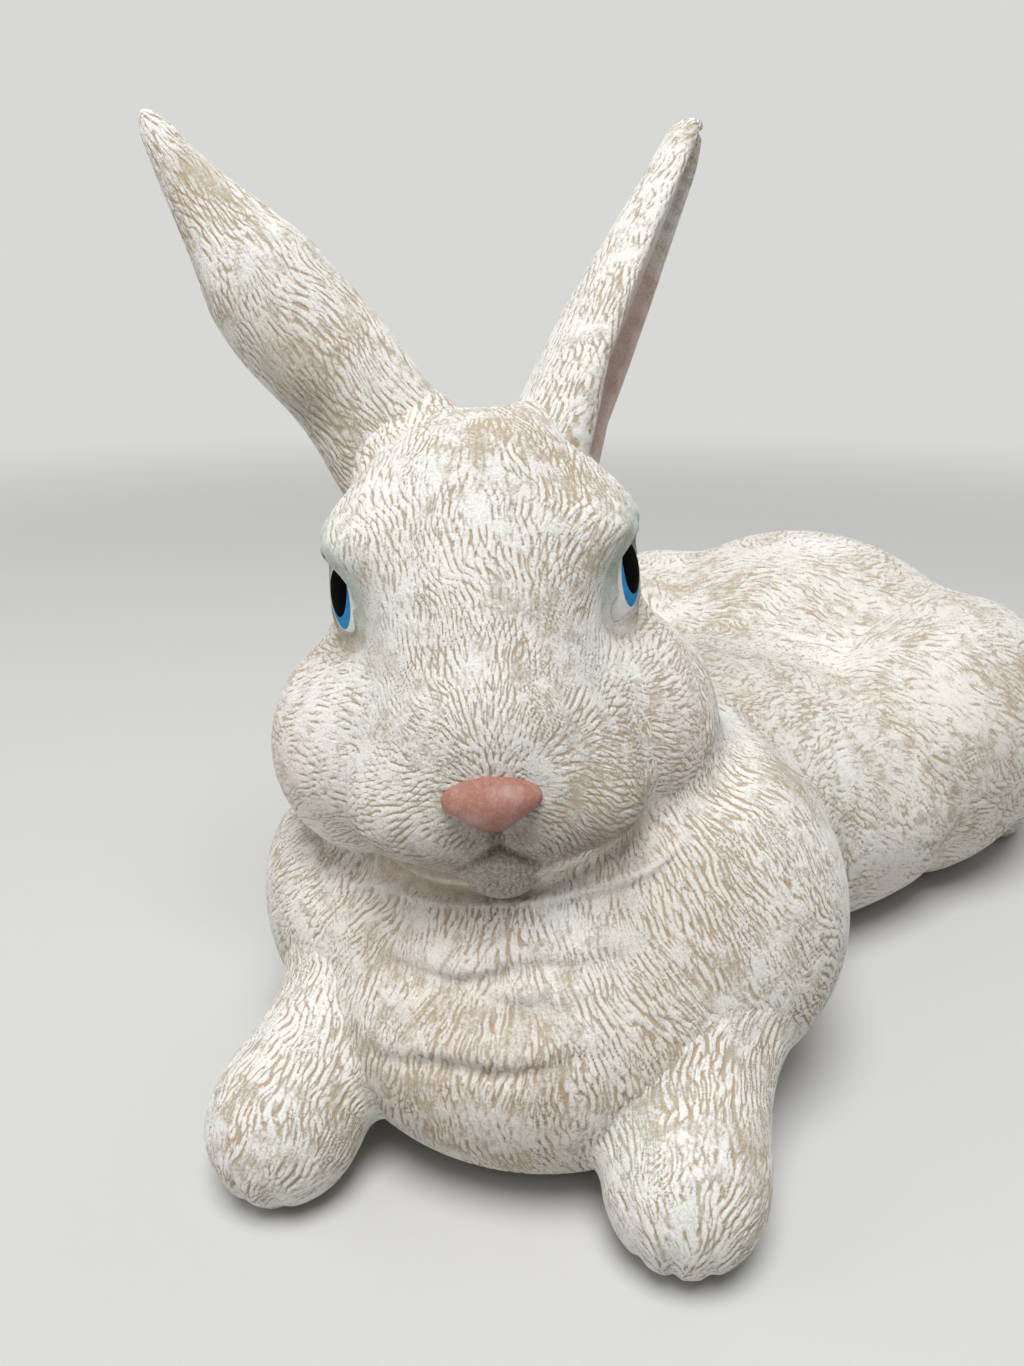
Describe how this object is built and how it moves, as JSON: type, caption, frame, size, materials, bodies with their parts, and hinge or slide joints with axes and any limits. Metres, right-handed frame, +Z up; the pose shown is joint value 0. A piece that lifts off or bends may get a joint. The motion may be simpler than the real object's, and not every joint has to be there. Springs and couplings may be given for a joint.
{
  "type": "rabbit figurine",
  "caption": "Reclining rabbit figurine in hollow slip-cast earthenware, head turned to one side with upright ears, fur texture dry-brushed white over tan, with glossy painted eyes.",
  "frame": {"origin": "centre of the footprint's bounding box, on the surface that the figurine lies on", "axes": "+Z up, +Y from the chest towards the tail, +X to the rabbit's left"},
  "size_m": [0.2076, 0.3686, 0.2376],
  "materials": {
    "fur_paint": "matte white dry-brushed over tan, carved fur",
    "pink_tint": "matte pink",
    "nose_pink": "matte pink, grainy",
    "eye_white": "gloss",
    "iris_blue": "gloss",
    "pupil_black": "gloss"
  },
  "bodies": {
    "root": {"body_shell": "fur_paint", "head_shell": "fur_paint", "left_ear": "fur_paint", "right_ear": "fur_paint", "left_ear_lining": "pink_tint", "right_ear_lining": "pink_tint", "left_foreleg": "fur_paint", "right_foreleg": "fur_paint", "left_hind_foot": "fur_paint", "right_hind_foot": "fur_paint", "tail": "fur_paint", "nose": "nose_pink", "left_eye_white": "eye_white", "right_eye_white": "eye_white", "left_iris": "iris_blue", "right_iris": "iris_blue", "left_pupil": "pupil_black", "right_pupil": "pupil_black"}
  },
  "joints": []
}
